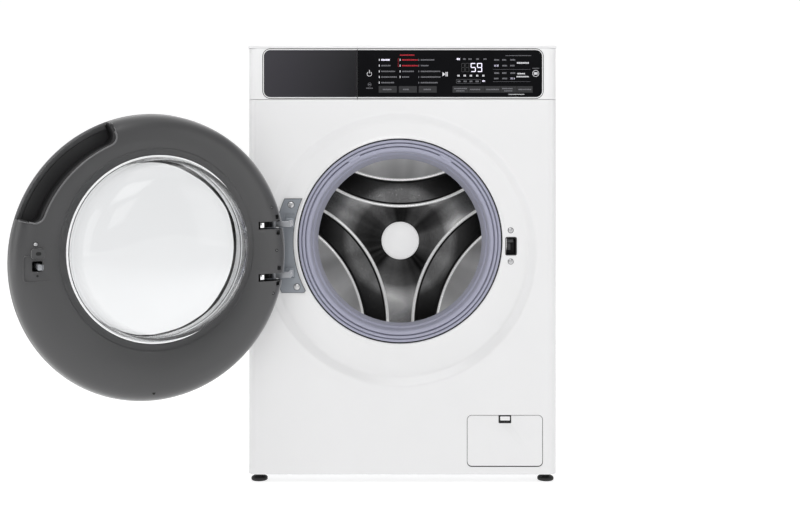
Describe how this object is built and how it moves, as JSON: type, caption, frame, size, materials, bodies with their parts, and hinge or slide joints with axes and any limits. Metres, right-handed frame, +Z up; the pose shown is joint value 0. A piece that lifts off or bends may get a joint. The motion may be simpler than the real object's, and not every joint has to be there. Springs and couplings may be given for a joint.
{
  "type": "front load washing machine",
  "caption": "Front load washing machine with a round door standing open, a detergent drawer, a sprung tub with a turning drum and a drain hatch.",
  "frame": {"origin": "centre of the base plate's underside, one foot height above the floor", "axes": "+Z up, +Y from the machine's front to its back, +X to the right as the front is faced"},
  "size_m": [0.9662, 0.8179, 0.85],
  "materials": {
    "painted_steel": "semi gloss",
    "galvanised_steel": "galvanised",
    "white_plastic": "semi gloss",
    "black_glass": "gloss",
    "grey_plastic": "satin",
    "dark_plastic": "satin",
    "grey_metal": "satin",
    "stainless": "polished",
    "seal_rubber": "satin",
    "black_rubber": "matte",
    "tub_plastic": "matte",
    "counterweight": "rough",
    "cast_aluminium": "as cast",
    "clear_glass": "polished",
    "copper_winding": "lacquered",
    "door_window": "gloss"
  },
  "bodies": {
    "cabinet": {"base_frame": "galvanised_steel", "front_left_foot": "black_rubber", "rear_left_foot": "black_rubber", "front_right_foot": "black_rubber", "rear_right_foot": "black_rubber", "front_panel": "painted_steel", "left_side_panel": "painted_steel", "right_side_panel": "painted_steel", "rear_panel": "galvanised_steel", "top_panel": "painted_steel", "top_brace": "galvanised_steel", "control_fascia": "white_plastic", "control_glass": "black_glass", "main_board_case": "grey_plastic", "inlet_valve": "white_plastic", "mains_gland": "black_rubber", "dispenser_housing": "white_plastic", "hinge_bracket": "grey_metal", "door_lock": "dark_plastic", "hatch_frame": "white_plastic", "drain_pump": "grey_plastic", "drain_hose": "black_rubber", "gasket": "seal_rubber", "damper_tube_left": "dark_plastic", "damper_tube_right": "dark_plastic", "spring_left": "galvanised_steel", "spring_right": "galvanised_steel", "sump_hose": "black_rubber", "dispenser_hose": "black_rubber", "fill_hose": "black_rubber"},
    "tub": {"tub_front": "tub_plastic", "tub_rear": "tub_plastic", "front_counterweight": "counterweight", "top_counterweight": "counterweight", "stator": "copper_winding", "bearing_set": "galvanised_steel", "tub_heater": "stainless", "damper_rod_left": "grey_metal", "damper_rod_right": "grey_metal"},
    "drum": {"drum_shell": "stainless", "drum_back": "stainless", "drum_cap": "white_plastic", "lifter_1": "white_plastic", "lifter_2": "white_plastic", "lifter_3": "white_plastic", "drum_spider": "cast_aluminium", "rotor": "grey_metal"},
    "door": {"door_frame": "dark_plastic", "door_window": "door_window", "door_inner_cover": "grey_plastic", "door_grip": "dark_plastic", "door_glass": "clear_glass", "door_hinge_plate": "grey_metal"},
    "hook": {"door_hook": "grey_metal"},
    "drawer": {"drawer_front": "white_plastic", "drawer_inlay": "black_glass", "drawer_tray": "white_plastic"},
    "hatch": {"hatch_flap": "painted_steel", "hatch_latch": "white_plastic"},
    "filter": {"drain_filter": "dark_plastic"}
  },
  "joints": [
    {"name": "door_hinge", "type": "hinge", "parent": "cabinet", "child": "door", "pos_m": [-0.246, -0.2765, 0.44], "axis": [0, 0, 1], "range_deg": [0, 148]},
    {"name": "hook_pivot", "type": "hinge", "parent": "door", "child": "hook", "pos_m": [-0.61734, -0.54274, 0.432], "axis": [0, 0, 1], "range_deg": [0, 5], "stiffness_Nm_per_rad": 0.4},
    {"name": "drawer_slide", "type": "slide", "parent": "cabinet", "child": "drawer", "axis": [0, -1, 0], "range_m": [0, 0.2]},
    {"name": "tub_bounce", "type": "slide", "parent": "cabinet", "child": "tub", "axis": [0, 0, 1], "range_m": [-0.008, 0.008], "stiffness_N_per_m": 24000, "springref_m": 0.01699, "deforming": ["spring_left", "spring_right", "gasket", "sump_hose", "dispenser_hose"]},
    {"name": "drum_spin", "type": "hinge", "parent": "tub", "child": "drum", "pos_m": [-0.005, -0.2025, 0.452], "axis": [0, 0.9976, -0.0698], "continuous": true},
    {"name": "hatch_hinge", "type": "hinge", "parent": "cabinet", "child": "hatch", "pos_m": [0.1987, -0.235, 0.0232], "axis": [1, 0, 0], "range_deg": [0, 92]},
    {"name": "filter_turn", "type": "hinge", "parent": "cabinet", "child": "filter", "pos_m": [0.18, -0.2175, 0.067], "axis": [0, -1, 0], "range_deg": [0, 120]}
  ]
}
